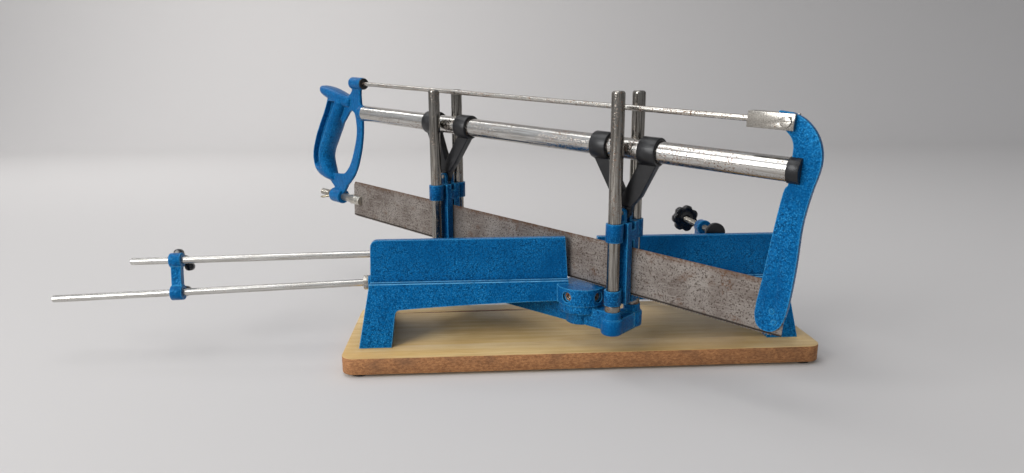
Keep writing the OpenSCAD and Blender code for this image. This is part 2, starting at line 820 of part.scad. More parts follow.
module blade_pins() {
    color("#6b4a36")
        for (p = horn_pin_places())
            translate([0, p[0], p[1]]) rod_x(blade_pin_d, -horn_t / 2 - 0.6, horn_t / 2 + 0.6);
}

block_l = 36;
block_w = 12.6;
horn_slot = 13.5;
block_screw_q = tube_horn_end - 5.5;

module tension_block() {
    color(steel) translate([0, 0, rod_h]) difference() {
        translate([-block_w / 2, -tube_horn_end - 0.5, -block_w / 2]) cube([block_w, block_l, block_w]);
        translate([-horn_t / 2 - snug, -tube_horn_end - block_w, -block_w])
            cube([horn_t + 2 * snug, block_w + horn_slot, 2 * block_w]);
        rod_y(rod_d + 2 * snug, -tube_horn_end, 0);
        translate([0, -block_screw_q, 0]) rod_x(block_screw_d + 2 * snug, -20, 20);
    }
}

module block_screw() {
    color(chrome) translate([0, -block_screw_q, rod_h]) {
        rod_x(block_screw_d, -block_w / 2 - 1, block_w / 2);
        difference() {
            rod_x(8.4, -block_w / 2 - 2.4, -block_w / 2);
            translate([-block_w / 2 - 4, -10, -0.6]) cube([2.6, 20, 1.2]);
        }
    }
}

module tension_rod() {
    color(chrome) translate([0, 0, rod_h]) rod_y(rod_d, -tube_horn_end + 14, handle_boss_q2 - 2);
}

// Handle: a strut on the tube, a rounded grip and two bosses
handle_boss_q1 = tube_handle_end + 4;
handle_boss_q2 = handle_boss_q1 + 22;
stud_h = 21;
stud_boss_q1 = tube_handle_end + 50.5;
stud_boss_q2 = stud_boss_q1 + 21;
sleeve_l = 6;
sleeve_d = 9.6;

// Along the handle: distance past the tube, height, radius and share of the grip's thickness
grip_line = [[84.5, 154, 4.6, 0.5], [63.5, 141, 12.5, 0.9], [68.5, 121, 15, 1], [80.5, 100, 15.5, 1],
    [92, 80, 13.2, 1], [91, 58, 13.5, 1], [68, 39, 7, 0.5]];

module grip_link(a, b) {
    hull()
        for (p = [a, b])
            translate([0, tube_handle_end + p[0], p[1]]) rotate([0, 90, 0]) {
                cylinder(r = p[2], h = grip_t * p[3] - p[2] * 0.8, center = true, $fn = 32);
                cylinder(r = p[2] * 0.6, h = grip_t * p[3], center = true, $fn = 32);
            }
}

function handle_side(p) = [for (i = p) [tube_handle_end + i[0], i[1]]];

module handle_casting() {
    q = tube_handle_end;
    front_edge = curve(handle_side([[10, 163], [8.5, 148], [6.2, 132], [5.3, 120], [6, 107], [8.5, 92],
        [12.5, 78], [18, 64], [26, 51], [37, 40], [50, 30]]));
    hole_edge = curve(handle_side([[64, 56], [51.5, 49.5], [45, 53], [39, 58.5], [32, 67], [27, 77],
        [22, 90], [18, 103], [17, 116], [18, 126.5], [21.5, 132.5], [26, 135], [32, 132]]));
    top_edge = curve(handle_side([[48, 151], [36.5, 151.5], [30, 155.5], [26.5, 159.5], [24.5, 165]]));
    color(enamel) difference() {
        union() {
            profile_x(strut_t)
                polygon(concat(front_edge,
                    handle_side([[50, 27], [66.8, 27], [67, 34], [78, 42], [82, 58]]), hole_edge,
                    handle_side([[50, 124], [64, 138], [62, 151]]), top_edge));
            profile_x(grip_t * 0.55)
                polygon(handle_side([[35, 138], [36.5, 150], [46.5, 153.5], [84, 158.5], [88, 154],
                    [72, 140]]));
            for (i = [0:len(grip_line) - 2])
                grip_link(grip_line[i], grip_line[i + 1]);
            translate([0, 0, rod_h]) rod_y(14.6, handle_boss_q1, handle_boss_q2);
            translate([0, 0, stud_h]) rod_y(19, stud_boss_q1, stud_boss_q2);
            translate([0, 0, tube_h]) rod_y(tube_d - 2 * tube_wall - 2 * snug, q - 22, q + 10);
            translate([0, 0, tube_h]) rod_y(tube_d, q + 0.02, q + 8);
        }
        translate([0, 0, rod_h]) {
            rod_y(rod_d + 2 * snug, handle_boss_q1 - cut, handle_boss_q2 + cut);
            rod_y(sleeve_d + 2 * snug, handle_boss_q1 - cut, handle_boss_q1 + sleeve_l + 0.2);
            rod_y(10.4, handle_boss_q2 - 6, handle_boss_q2 + cut);
        }
        translate([0, 0, stud_h]) rod_y(stud_d + 2 * snug, stud_boss_q1 - cut, stud_boss_q2 + cut);
    }
}

module rod_grommet() {
    color(plastic) translate([0, 0, rod_h]) difference() {
        union() {
            rod_y(13.6, handle_boss_q1 - 1.8, handle_boss_q1 - 0.02);
            rod_y(sleeve_d, handle_boss_q1 - 1, handle_boss_q1 + sleeve_l);
        }
        rod_y(rod_d + 2 * snug, handle_boss_q1 - 12, handle_boss_q1 + sleeve_l + cut);
    }
}

module rod_end_nut() {
    color(steel) translate([0, 0, rod_h]) difference() {
        rod_y(10.2, handle_boss_q2 - 5.9, handle_boss_q2 - 0.8);
        rod_y(rod_d + 2 * snug, handle_boss_q2 - 7, handle_boss_q2 + 1);
    }
}

// Blade and what holds it
stud_pin_q = blade_handle_end - 9;

module blade() {
    p = tooth_pitch;
    start = -blade_horn_end + 8;
    color("#8d8378") difference() {
        profile_x(blade_t)
            polygon(concat([[-blade_horn_end, blade_w], [-blade_horn_end, tooth_depth],
                [start, tooth_depth]],
                [for (i = [0:tooth_count - 1], e = [0, 1])
                    [start + (i + e * 0.5) * p, e * tooth_depth]],
                [[start + tooth_count * p, 0], [blade_handle_end, tooth_depth],
                [blade_handle_end, blade_w - 4], [blade_handle_end - 3, blade_w]]));
        for (q = horn_pin_places())
            translate([0, q[0], q[1]]) rod_x(blade_pin_d + 2 * snug, -5, 5);
        translate([0, stud_pin_q, stud_h]) rod_x(blade_pin_d + 2 * snug, -5, 5);
    }
}

module blade_stud() {
    fork_d = 12.4;
    color(steel) translate([0, 0, stud_h]) difference() {
        union() {
            rod_y(fork_d, stud_pin_q - 6, blade_handle_end + 5);
            rod_y(stud_d + 2, blade_handle_end + 4, stud_boss_q1 - gap);
            rod_y(stud_d, blade_handle_end + 4, stud_boss_q2 + 27);
        }
        translate([-blade_t / 2 - snug, stud_pin_q - fork_d, -fork_d])
            cube([blade_t + 2 * snug, blade_handle_end + 0.6 - stud_pin_q + fork_d, 2 * fork_d]);
        translate([0, stud_pin_q, 0]) rod_x(blade_pin_d + 2 * snug, -20, 20);
    }
}

module stud_pin() {
    color(steel) translate([0, stud_pin_q, stud_h]) rod_x(blade_pin_d, -6.4, 6.4);
}

module wing_nut() {
    color("#b5a77d") translate([0, stud_boss_q2 + 0.3, stud_h]) rotate([-90, 0, 0]) rotate([0, 0, -20])
        difference() {
            union() {
                cylinder(d1 = 13, d2 = 11, h = 8);
                wings_z(11, 26, 13, 3.4);
            }
            translate([0, 0, -cut]) cylinder(d = stud_d + 2 * run, h = 30);
        }
}

// Work clamp on the right of the table
module on_clamp() {
    on_board() translate([clamp_x, clamp_y, 0]) rotate([0, 0, clamp_skew]) children();
}

boss_q = [-9.5, 1.5];

module clamp_bracket() {
    color(enamel) on_clamp() difference() {
        union() {
            translate([0, 0, table_h + 0.02]) cylinder(d = 24, h = 6);
            translate([-4, -6, table_h + 2]) cube([8, 12, clamp_h - table_h - 4]);
            translate([0, 0, clamp_h]) {
                rod_y(14, boss_q[0], boss_q[1]);
                rod_y(15.2, boss_q[0], boss_q[0] + 3.5);
            }
        }
        translate([0, 0, clamp_h]) rod_y(clamp_screw_d + 2 * run, -30, 30);
        translate([0, 0, table_h - cut]) cylinder(d = clamp_screw_d + 2 * snug, h = 16);
    }
}

module clamp_stud() {
    color(steel) on_clamp() translate([0, 0, table_h - table_t - 14])
        cylinder(d = clamp_screw_d, h = table_t + 14 + 12);
}

module clamp_wing_nut() {
    color(steel) on_clamp() translate([0, 0, table_h - table_t - gap]) rotate([180, 0, 0])
        difference() {
            union() {
                cylinder(d1 = 12, d2 = 10, h = 6);
                wings_z(10, 24, 10, 3);
            }
            translate([0, 0, -cut]) cylinder(d = clamp_screw_d + 2 * run, h = 30);
        }
}

module clamp_screw() {
    color(chrome) on_clamp() translate([0, 0, clamp_h]) {
        rod_y(clamp_screw_d, -clamp_pad_out + 4.2, clamp_knob_out + 3);
        rod_y(clamp_screw_d - 2, -clamp_pad_out - 0.8, 0);
    }
}

module clamp_knob() {
    color(plastic) on_clamp() translate([0, clamp_knob_out, clamp_h])
        star_knob_y(knob_d, 9.5, clamp_screw_d + 2 * snug);
}

module clamp_pad() {
    color(plastic) on_clamp() translate([0, -clamp_pad_out, clamp_h]) difference() {
        union() {
            rod_y(pad_d, -4, 0);
            rod_y(10, -1, 4);
        }
        rod_y(clamp_screw_d - 2 + 2 * run, -1, 10);
    }
}

// Length stop on the left: link, sliding rod and two thumb screws
module on_link() {
    on_board() on_stop_rod() translate([-link_out, 0, 0]) rotate([-link_lean, 0, 0]) children();
}

module on_upper_rod() {
    on_link() translate([0, 0, stop_pitch]) rotate([0, rod_sag, 0]) children();
}

module stop_link() {
    color(enamel) difference() {
        on_link() {
            rod_x(15.2, -link_w / 2, link_w / 2);
            translate([0, 0, stop_pitch]) rod_x(14.6, -link_w / 2, link_w / 2);
            translate([-link_w / 2 + 0.8, -3.6, 0]) cube([link_w - 1.6, 7.2, stop_pitch]);
            for (z = [0, stop_pitch])
                translate([0, 0, z]) rod_y(9, 0, 10);
        }
        on_link() {
            rod_x(stop_rod_d + 2 * run, -20, 20);
            for (z = [0, stop_pitch])
                translate([0, 0, z]) rod_y(thumb_d + 2 * run, 0, 20);
        }
        on_upper_rod() rod_x(stop_rod_d + 2 * run, -20, 20);
    }
}

module stop_rod() {
    color(chrome) on_upper_rod() {
        rod_x(stop_rod_d, -stop_rod_out + 0.8, stop_rod_l - stop_rod_out - 0.8);
        rod_x(stop_rod_d - 1.6, -stop_rod_out, stop_rod_l - stop_rod_out);
    }
}

module thumb_shank() {
    translate([0, 0, stop_rod_d / 2 + gap]) cylinder(d = thumb_d, h = 12);
}

module lower_thumb_screw() {
    color(plastic) on_link() rotate([-90, 0, 0]) {
        thumb_shank();
        translate([0, 0, 14]) cylinder(d = 10.5, h = 8);
    }
}

module upper_thumb_screw() {
    lobe_d = 8.4;
    reach = 8.8;
    color(plastic) on_link() translate([0, 0, stop_pitch]) rotate([-90, 0, 0]) {
        thumb_shank();
        translate([0, 0, 14]) cylinder(d = 9.4, h = 8);
        rotate([0, 0, 52]) translate([0, 0, 15]) {
            for (side = [-1, 1])
                translate([side * reach, 0, 0]) cylinder(d = lobe_d, h = 7);
            translate([-reach, -2.2, 0]) cube([2 * reach, 4.4, 7]);
        }
    }
}

on_feet() baseboard();
on_feet() board_feet();
on_board() base_casting();
on_feet() casting_screws();
on_board() pivot_pin();
on_board() pivot_washer();
on_board() hub_set_screws();
on_board() fixed_stop_rod();
on_board() stop_rod_nut();
on_arm() swing_arm();
on_arm() rear_posts();
on_arm() front_posts();
on_arm() post_set_screws();
on_arm() stop_washers();
on_arm() lock_pad();
on_arm() lock_screw();
on_arm() lock_knob();
on_arm() rear_carriage();
on_arm() front_carriage();
on_saw() rear_guide();
on_saw() front_guide();
on_saw() rear_guide_pin();
on_saw() front_guide_pin();
on_saw() frame_tube();
on_saw() tube_plug();
on_saw() handle_casting();
on_saw() horn_plate();
on_saw() tension_rod();
on_saw() rod_grommet();
on_saw() rod_end_nut();
on_saw() tension_block();
on_saw() block_screw();
on_saw() blade();
on_saw() blade_pins();
on_saw() blade_stud();
on_saw() stud_pin();
on_saw() wing_nut();
clamp_bracket();
clamp_stud();
clamp_wing_nut();
clamp_screw();
clamp_knob();
clamp_pad();
stop_link();
stop_rod();
lower_thumb_screw();
upper_thumb_screw();
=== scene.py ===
import math
import bpy
from mathutils import Matrix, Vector
import numpy as np


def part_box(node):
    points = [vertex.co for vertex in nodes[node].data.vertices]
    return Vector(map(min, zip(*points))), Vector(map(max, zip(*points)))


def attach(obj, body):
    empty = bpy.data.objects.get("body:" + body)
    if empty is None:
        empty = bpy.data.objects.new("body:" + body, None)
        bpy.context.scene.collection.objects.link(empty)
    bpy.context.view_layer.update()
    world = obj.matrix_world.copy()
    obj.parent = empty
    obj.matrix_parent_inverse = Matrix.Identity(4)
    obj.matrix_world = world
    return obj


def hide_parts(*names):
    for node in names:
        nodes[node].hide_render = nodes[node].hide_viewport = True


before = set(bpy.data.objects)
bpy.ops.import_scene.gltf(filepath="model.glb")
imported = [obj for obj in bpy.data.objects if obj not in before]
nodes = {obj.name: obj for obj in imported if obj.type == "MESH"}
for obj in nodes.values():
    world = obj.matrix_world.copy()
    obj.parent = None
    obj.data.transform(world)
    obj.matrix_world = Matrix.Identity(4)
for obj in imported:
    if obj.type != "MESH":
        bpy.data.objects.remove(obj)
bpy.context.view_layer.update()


# Camera: behind the fence, a little to the left of the pivot and above the saw, looking slightly
# down. The lens is a wide one, of about 24 mm on a frame 36 mm wide.
camera_at = np.array([-0.1078, -0.6377, 0.2686])
camera_yaw, camera_pitch, camera_roll = np.radians([3.57, 12.70, -0.23])
frame_width, focal_pixels, picture_pixels = 36.0, 685.14, 1024
camera_data = bpy.data.cameras.new("camera")
camera_data.sensor_width = frame_width
camera_data.lens = frame_width * focal_pixels / picture_pixels
camera_data.clip_start = 0.01
camera = bpy.data.objects.new("camera", camera_data)
bpy.context.scene.collection.objects.link(camera)
ahead = np.array([math.sin(camera_yaw) * math.cos(camera_pitch),
                  math.cos(camera_yaw) * math.cos(camera_pitch), -math.sin(camera_pitch)])
level = np.cross(ahead, [0, 0, 1])
level /= np.linalg.norm(level)
upright = np.cross(level, ahead)
right = level * math.cos(camera_roll) + upright * math.sin(camera_roll)
top = -level * math.sin(camera_roll) + upright * math.cos(camera_roll)
pose = np.eye(4)
pose[:3, 0], pose[:3, 1], pose[:3, 2], pose[:3, 3] = right, top, -ahead, camera_at
camera.matrix_world = Matrix(pose.tolist())
bpy.context.scene.camera = camera
bpy.context.scene.view_settings.view_transform = "Standard"


# Studio: a pale floor that runs up into a backdrop, a large soft lamp on the left, a weaker one
# from above and one on the backdrop. The world round it is bright overhead, greyer along the
# horizon, and paler on the lamp's side.
def linear(hex_text):
    """sRGB hex colour to linear RGBA: each channel c/255 is divided by 12.92 below 0.04045,
    and otherwise raised as ((c + 0.055) / 1.055) to the power 2.4."""
    c = np.array([int(hex_text[i:i + 2], 16) for i in (1, 3, 5)]) / 255
    c = np.where(c <= 0.04045, c / 12.92, ((c + 0.055) / 1.055) ** 2.4)
    return [float(v) for v in c] + [1.0]


def give(owner, socket, value):
    """Links a socket to another, or sets it, with hex text taken as an sRGB colour."""
    if isinstance(value, bpy.types.NodeSocket):
        owner.node_tree.links.new(value, socket)
    else:
        socket.default_value = linear(value) if isinstance(value, str) else value


def add(owner, kind, *values, sockets=None, result=None, **settings):
    """Adds one node to a material or world, and gives the first of its open results or the named
    one. kind is the node's type after ShaderNode, and settings are its own properties. The values
    go into its open inputs in their order, and those in sockets into the inputs they name."""
    node = owner.node_tree.nodes.new("ShaderNode" + kind)
    for name, value in settings.items():
        setattr(node, name, value)
    inputs = [socket for socket in node.inputs if socket.enabled]
    for socket, value in zip(inputs, values):
        give(owner, socket, value)
    for name, value in (sockets or {}).items():
        give(owner, node.inputs[name], value)
    return node.outputs[result] if result else next(o for o in node.outputs if o.enabled)


def blank(name):
    """A new material with only a Principled shader and its output."""
    material = bpy.data.materials.new(name)
    material.use_nodes = True
    return material, material.node_tree.nodes["Principled BSDF"]


def finish_with(owner, shader, **sockets):
    """Gives the shader's sockets, named with _ for a space, their values or links."""
    for name, value in sockets.items():
        give(owner, shader.inputs[name.replace("_", " ")], value)


def surface(name, points, faces):
    """A smooth mesh object from an array of points and a list of faces, all in metres."""
    mesh = bpy.data.meshes.new(name)
    mesh.from_pydata(np.asarray(points, float).reshape(-1, 3).tolist(), [], faces)
    mesh.polygons.foreach_set("use_smooth", [True] * len(mesh.polygons))
    mesh.update()
    item = bpy.data.objects.new(name, mesh)
    bpy.context.scene.collection.objects.link(item)
    return item


def grid_faces(rows, columns, closed_rows=False, closed_columns=False):
    """Quads between neighbouring points of a grid stored row by row, wrapped round where closed."""
    i = np.arange(rows if closed_rows else rows - 1)
    j = np.arange(columns if closed_columns else columns - 1)
    i, j = np.meshgrid(i, j, indexing="ij")
    a, b = i * columns + j, i * columns + (j + 1) % columns
    c, d = (i + 1) % rows * columns + (j + 1) % columns, (i + 1) % rows * columns + j
    return np.stack([a, b, c, d], -1).reshape(-1, 4).tolist()


def lamp(name, place, aim, size, power):
    """A square area lamp of that side at a place, turned towards a point."""
    data = bpy.data.lights.new(name, "AREA")
    data.size, data.energy = size, power
    item = bpy.data.objects.new(name, data)
    bpy.context.scene.collection.objects.link(item)
    back = np.array(place, float) - np.array(aim, float)
    back /= np.linalg.norm(back)
    side = np.cross([0, 0, 1], back)
    side /= np.linalg.norm(side)
    turn = np.eye(4)
    turn[:3, 0], turn[:3, 1], turn[:3, 2], turn[:3, 3] = side, np.cross(back, side), back, place
    item.matrix_world = Matrix(turn.tolist())


# the sweep, in metres: a floor, a quarter round of this radius and a wall of this height
half_width, floor_front, floor_back, round_radius, wall_top = 9.0, -9.0, 2.2, 1.0, 4.0
bend = np.radians(np.linspace(0, 90, 19))
sweep_y = np.concatenate([[floor_front, 0.0, floor_back], floor_back + round_radius * np.sin(bend),
                          [floor_back + round_radius]])
sweep_z = np.concatenate([[0, 0, 0], round_radius * (1 - np.cos(bend)), [wall_top]])
sweep_x = np.linspace(-half_width, half_width, 7)
across, deep = np.meshgrid(sweep_x, sweep_y)
tall = np.repeat(sweep_z[:, None], sweep_x.size, 1)
floor = surface("studio_floor", np.stack([across, deep, tall], -1),
                grid_faces(sweep_y.size, sweep_x.size))
paper, shader = blank("studio_paper")
finish_with(paper, shader, Base_Color="#cac7c5", Roughness=0.85, Specular_IOR_Level=0.2)
floor.data.materials.append(paper)

room = bpy.data.worlds.new("room")
bpy.context.scene.world = room
room.use_nodes = True
sight = add(room, "TexCoord", result="Generated")
overhead = add(room, "MapRange", add(room, "SeparateXYZ", sight, result="Z"),
               -0.05, 0.7, 0.36, 0.62)
leftward = add(room, "MapRange", add(room, "SeparateXYZ", sight, result="X"), 0.7, -0.9, 0.6, 1.35)
finish_with(room, room.node_tree.nodes["Background"], Color="#eef1f6",
            Strength=add(room, "Math", overhead, leftward, operation="MULTIPLY"))

lamp("window", (-1.6, -1.1, 1.0), (-0.1, 0, 0.1), 1.1, 29)
lamp("ceiling", (-0.5, 0.05, 1.9), (-0.1, 0, 0), 1.2, 10)
lamp("backdrop", (-1.4, 1.2, 1.8), (-0.6, 3.2, 0.7), 1.2, 30)


# Castings: the base, the arm, the carriages and the small brackets are cast iron in a thick
# hammered enamel, whose dimples pool darker between bright crests. It is chipped at the edges.
def grain(material, size, low, high, stretch=(1, 1, 1), detail=3.0):
    """Noise on the piece's own coordinates with grains of that size in millimetres, stretched
    along x, y and z, as a share that is 0 at the lower threshold and 1 at the higher one."""
    spot = add(material, "Mapping", add(material, "TexCoord", result="Object"),
               sockets={"Scale": [1 / s for s in stretch]})
    return add(material, "MapRange", add(material, "TexNoise", spot, 1000 / size, detail, 0.6),
               low, high)


def layered(material, ground, *layers):
    """A ground colour with others laid over it in turn, each given as the share of it that shows,
    from 0 to 1, and its colour."""
    for share, colour in layers:
        ground = add(material, "Mix", share, ground, colour, data_type="RGBA")
    return ground


def edge_share(material, reach, low, high):
    """1 along sharp edges and 0 elsewhere: how far a normal rounded over that reach in metres
    turns away from the true one, between two thresholds."""
    soft = add(material, "Bevel", reach, samples=4)
    true = add(material, "NewGeometry", result="Normal")
    same = add(material, "VectorMath", soft, true, operation="DOT_PRODUCT")
    return add(material, "MapRange", same, 1 - low, 1 - high)


def dress(material, *names, bevel=0.0, flat=0.3):
    """Gives CAD nodes a material, and with a bevel rounds their sharp edges by that radius. The
    triangles within flat degrees of one plane are first made one face. With flat zero they stay,
    for a casting whose planes are pierced, and each corner takes its larger faces' direction."""
    for name in names:
        item = nodes[name]
        item.data.materials.clear()
        item.data.materials.append(material)
        item.data.polygons.foreach_set("material_index", [0] * len(item.data.polygons))
        if bevel:
            item.data.polygons.foreach_set("use_smooth", [True] * len(item.data.polygons))
            item.modifiers.new("joined", "WELD").merge_threshold = 2e-5
            if flat:
                merge = item.modifiers.new("flat", "DECIMATE")
                merge.decimate_type, merge.angle_limit = "DISSOLVE", math.radians(flat)
            round_off = item.modifiers.new("rounded", "BEVEL")
            round_off.width, round_off.segments = bevel, 2
            round_off.limit_method, round_off.angle_limit = "ANGLE", math.radians(28)
            round_off.use_clamp_overlap = False
            round_off.harden_normals = flat > 0
            if not flat:
                even = item.modifiers.new("even", "WEIGHTED_NORMAL")
                even.mode, even.weight = "FACE_AREA", 100


def hammered_enamel(name, wear, crest="#0b67a6", pool="#033864", step=None):
    """Blue enamel with dimples 1.9 mm across, which shows as a mottle of its two blues, crest and
    pool, under bright flecks of 1.1 mm. Painted shade darkens it in hollows, where the piece's own
    ambient occlusion is low, and a painted highlight makes it pale along edges. Wear is how much
    of an edge is bare metal. At the height of a step in metres, a painted highlight runs as a pale
    line along the faces that look to -y."""
    material, shader = blank(name)
    own = add(material, "TexCoord", result="Object")
    cells = add(material, "TexVoronoi", own, 1000 / 1.9, feature="SMOOTH_F1")
    dimple = add(material, "MapRange", cells, 0.15, 0.7)
    # painted shade: the piece's own ambient occlusion darkens the enamel towards #02213e in hollows
    # and creases
    ao_for_painted_shade = add(material, "AmbientOcclusion", sockets={"Distance": 0.014}, result="AO",
                     samples=4, only_local=True)
    paint = layered(material, crest, (dimple, pool),
                    (grain(material, 1.1, 0.5, 0.72, detail=1.0), "#2f8ac3"),
                    (grain(material, 45, 0.35, 0.75), "#044c82"),
                    (add(material, "MapRange", ao_for_painted_shade, 0.62, 0.34), "#02213e"),
                    # painted highlight: a pale blue line along sharp edges
                    (edge_share(material, 0.0016, 0.008, 0.1), "#3f9dce"))
    # painted highlight: a pale line at the step's height on the faces that look to -y, broken up by
    # noise
    if step:
        normal = add(material, "NewGeometry", result="Normal")
        facing = add(material, "MapRange", add(material, "SeparateXYZ", normal, result="Y"),
                     -0.5, -0.8)
        height = add(material, "SeparateXYZ", own, result="Z")
        off = add(material, "Math", add(material, "Math", height, step, operation="SUBTRACT"),
                  operation="ABSOLUTE")
        line = add(material, "Math", add(material, "MapRange", off, 0.0009, 0.0004), facing,
                   operation="MULTIPLY")
        painted_step_highlight = add(material, "Math", line, grain(material, 12, 0.3, 0.5), operation="MULTIPLY")
        paint = layered(material, paint, (painted_step_highlight, "#6fb4dc"))
    chips = grain(material, 4, 0.62 - 0.3 * wear, 0.72 - 0.3 * wear)
    bare = add(material, "Math", edge_share(material, 0.0011, 0.06, 0.3), chips,
               operation="MULTIPLY")
    finish_with(material, shader, Base_Color=layered(material, paint, (bare, "#9aa2a6")),
                Metallic=add(material, "MapRange", bare, 0, 1, 0.0, 0.75), Specular_Tint="#3c9dcc",
                Roughness=add(material, "MapRange", dimple, 0, 1, 0.26, 0.38),
                Normal=add(material, "Bump", sockets={"Height": dimple, "Distance": 0.00022}))
    return material


enamel = hammered_enamel("hammered_blue_enamel", 0.35)
dress(hammered_enamel("base_blue_enamel", 0.35, step=0.0796), "base_casting", bevel=0.0004, flat=0)
dress(hammered_enamel("scuffed_blue_enamel", 0.8), "swing_arm", bevel=0.0008)
# The carriages take a darker copy of the enamel: painted shade for the shadow they stand in.
dress(hammered_enamel("painted_shade_blue_enamel", 0.3, "#074a80", "#022c52"), "rear_carriage",
      "front_carriage", bevel=0.0005)
dress(enamel, "clamp_bracket", "stop_link", bevel=0.0005)
dress(enamel, "horn_plate", bevel=0.0004)
dress(enamel, "blade_pins", bevel=0.0003)


# Baseboard: 16 mm chipboard with a glossy beech-look laminate on both faces, cut off square, so
# the pressed brown chips show all round its edge. Four rubber feet are screwed on below.
def laminated_board():
    """Beech streaks of 6 mm and 1.2 mm along x where a face looks up or down, under a clear hard
    gloss, and a dull edge of pressed chips 1.4 mm thick, darker in the gaps between them."""
    material, shader = blank("beech_laminate_on_chipboard")
    normal = add(material, "TexCoord", result="Normal")
    up = add(material, "Math", add(material, "SeparateXYZ", normal, result="Z"),
             operation="ABSOLUTE")
    face = add(material, "MapRange", up, 0.55, 0.75)
    wood = layered(material, "#e2c48d",
                   (grain(material, 6, 0.35, 0.7, stretch=(22, 1, 1)), "#cfa866"),
                   (grain(material, 1.2, 0.55, 0.75, stretch=(26, 1, 1)), "#bb9150"),
                   (grain(material, 90, 0.45, 0.8), "#c09a5e"))
    chips = layered(material, "#8a5a34",
                    (grain(material, 1.4, 0.35, 0.65, stretch=(2.2, 2.2, 1)), "#b57f50"),
                    (grain(material, 0.7, 0.6, 0.68), "#4a2f1c"),
                    (grain(material, 20, 0.5, 0.85), "#6e4c33"))
    pores = grain(material, 0.9, 0.3, 0.7)
    finish_with(material, shader, Base_Color=layered(material, chips, (face, wood)),
                Roughness=add(material, "MapRange", face, 0, 1, 0.75, 0.34),
                Normal=add(material, "Bump", sockets={"Height": pores, "Distance": 0.00006}))
    return material


def rubber():
    """Black rubber, dull, with grey dust in its moulded grain."""
    material, shader = blank("dusty_black_rubber")
    dust = grain(material, 2, 0.45, 0.8)
    finish_with(material, shader, Base_Color=layered(material, "#191817", (dust, "#4b4844")),
                Roughness=add(material, "MapRange", dust, 0, 1, 0.7, 0.9),
                Normal=add(material, "Bump", sockets={"Height": dust, "Distance": 0.00005}))
    return material


dress(laminated_board(), "baseboard", bevel=0.0005)
dress(rubber(), "board_feet", bevel=0.0008)


# Bars: the frame's tube and tension rod are chromed, the posts and the stop rods ground bright.
# All are drawn bar or tube, scuffed lengthwise, with brown rust coming up in small pits.
def bar_steel(name, along, bright, dull, rust, rough):
    """Bright metal with hair lines along a direction and rust in pits: rust is a share, and rough
    the roughness of the clean face. The lines are noise read at p - 0.96 (p . d) d, which draws
    its grains of 1.1 mm out along the bar. Real hair lines are finer and wouldn't show."""
    material, shader = blank(name)
    own = add(material, "TexCoord", result="Object")
    run = add(material, "VectorMath", own, along, operation="DOT_PRODUCT")
    slack = add(material, "VectorMath", [0.96 * a for a in along], run, operation="SCALE")
    thin = add(material, "VectorMath", own, slack, operation="SUBTRACT")
    lines = add(material, "MapRange", add(material, "TexNoise", thin, 1000 / 1.1, 3.0), 0.3, 0.7)
    pits = add(material, "Math", grain(material, 1.6, 0.62 - 0.1 * rust, 0.7 - 0.1 * rust),
               grain(material, 30, 0.55 - 0.25 * rust, 0.8 - 0.25 * rust), operation="MULTIPLY")
    worn = add(material, "Math", add(material, "MapRange", pits, 0, 1, rough, 0.6),
               add(material, "MapRange", lines, 0, 1, 0, 0.08), operation="ADD")
    sunk = add(material, "Bump", sockets={"Height": pits, "Distance": -0.00006})
    finish_with(material, shader,
                Base_Color=layered(material, bright, (lines, dull), (pits, "#6d4b33")),
                Metallic=add(material, "MapRange", pits, 0, 1, 1.0, 0.45), Roughness=worn,
                Normal=add(material, "Bump",
                           sockets={"Height": lines, "Distance": 0.000012, "Normal": sunk}))
    return material


saw_axis = (-0.7061, 0.7061, 0.0541)
dress(bar_steel("worn_chrome_tube", saw_axis, "#d2d1ce", "#aca8a1", 0.8, 0.12), "frame_tube")
dress(bar_steel("worn_chrome_rod", saw_axis, "#d4d2cc", "#a7a299", 0.9, 0.2), "tension_rod")
dress(bar_steel("ground_steel_posts", (0, 0, 1), "#aeaaa3", "#625d56", 0.55, 0.13), "rear_posts",
      "front_posts")
dress(bar_steel("bright_stop_rods", (0.9997, 0, 0.02), "#d9d8d5", "#b0aca4", 0.35, 0.22),
      "fixed_stop_rod", "stop_rod")


# Blade: a 45 mm strip of spring steel with fine teeth, dulled to a grey-brown patina. It is
# browner along its back and at its ends, where hands and damp reach it, and specked with rust.
blade_up = (0.03824, -0.03824, 0.99854)
back_from, back_to = 0.1188, 0.1238
gullet_low, gullet_top = 0.0798, 0.0822


def blade_steel():
    """Brown patina over steel, with rust specks of 1.5 mm, blotches of 16 mm and the long
    scratches of its strokes. Distances up the blade, in metres, put a browner band on its back
    and a dark line just over the teeth."""
    material, shader = blank("brown_patina_blade_steel")
    scratch = grain(material, 1.2, 0.5, 0.75, stretch=(16, 16, 1))
    specks = grain(material, 1.5, 0.52, 0.66, detail=2.0)
    blotch = add(material, "Math", grain(material, 16, 0.56, 0.7), grain(material, 1.6, 0.42, 0.6),
                 operation="MULTIPLY")
    lift = add(material, "VectorMath", add(material, "TexCoord", result="Object"), blade_up,
               operation="DOT_PRODUCT")
    back = add(material, "Math", add(material, "MapRange", lift, back_from, back_to),
               grain(material, 3, 0.3, 0.6), operation="MULTIPLY")
    gullets = add(material, "Math", add(material, "MapRange", lift, gullet_top, gullet_top - 0.001),
                  add(material, "MapRange", lift, gullet_low, gullet_low + 0.0006),
                  operation="MULTIPLY")
    tone = layered(material, "#989089", (grain(material, 30, 0.4, 0.65), "#766b64"),
                   (scratch, "#a9a29a"), (specks, "#44372d"), (blotch, "#614028"),
                   (back, "#6a4c36"), (gullets, "#2e2721"))
    scored = add(material, "Bump", sockets={"Height": scratch, "Distance": 0.00001})
    finish_with(material, shader, Base_Color=tone,
                Metallic=add(material, "MapRange", specks, 0, 1, 0.75, 0.2),
                Roughness=add(material, "MapRange", specks, 0, 1, 0.42, 0.75),
                Normal=add(material, "Bump",
                           sockets={"Height": specks, "Distance": 0.00004, "Normal": scored}))
    return material


dress(blade_steel(), "blade")


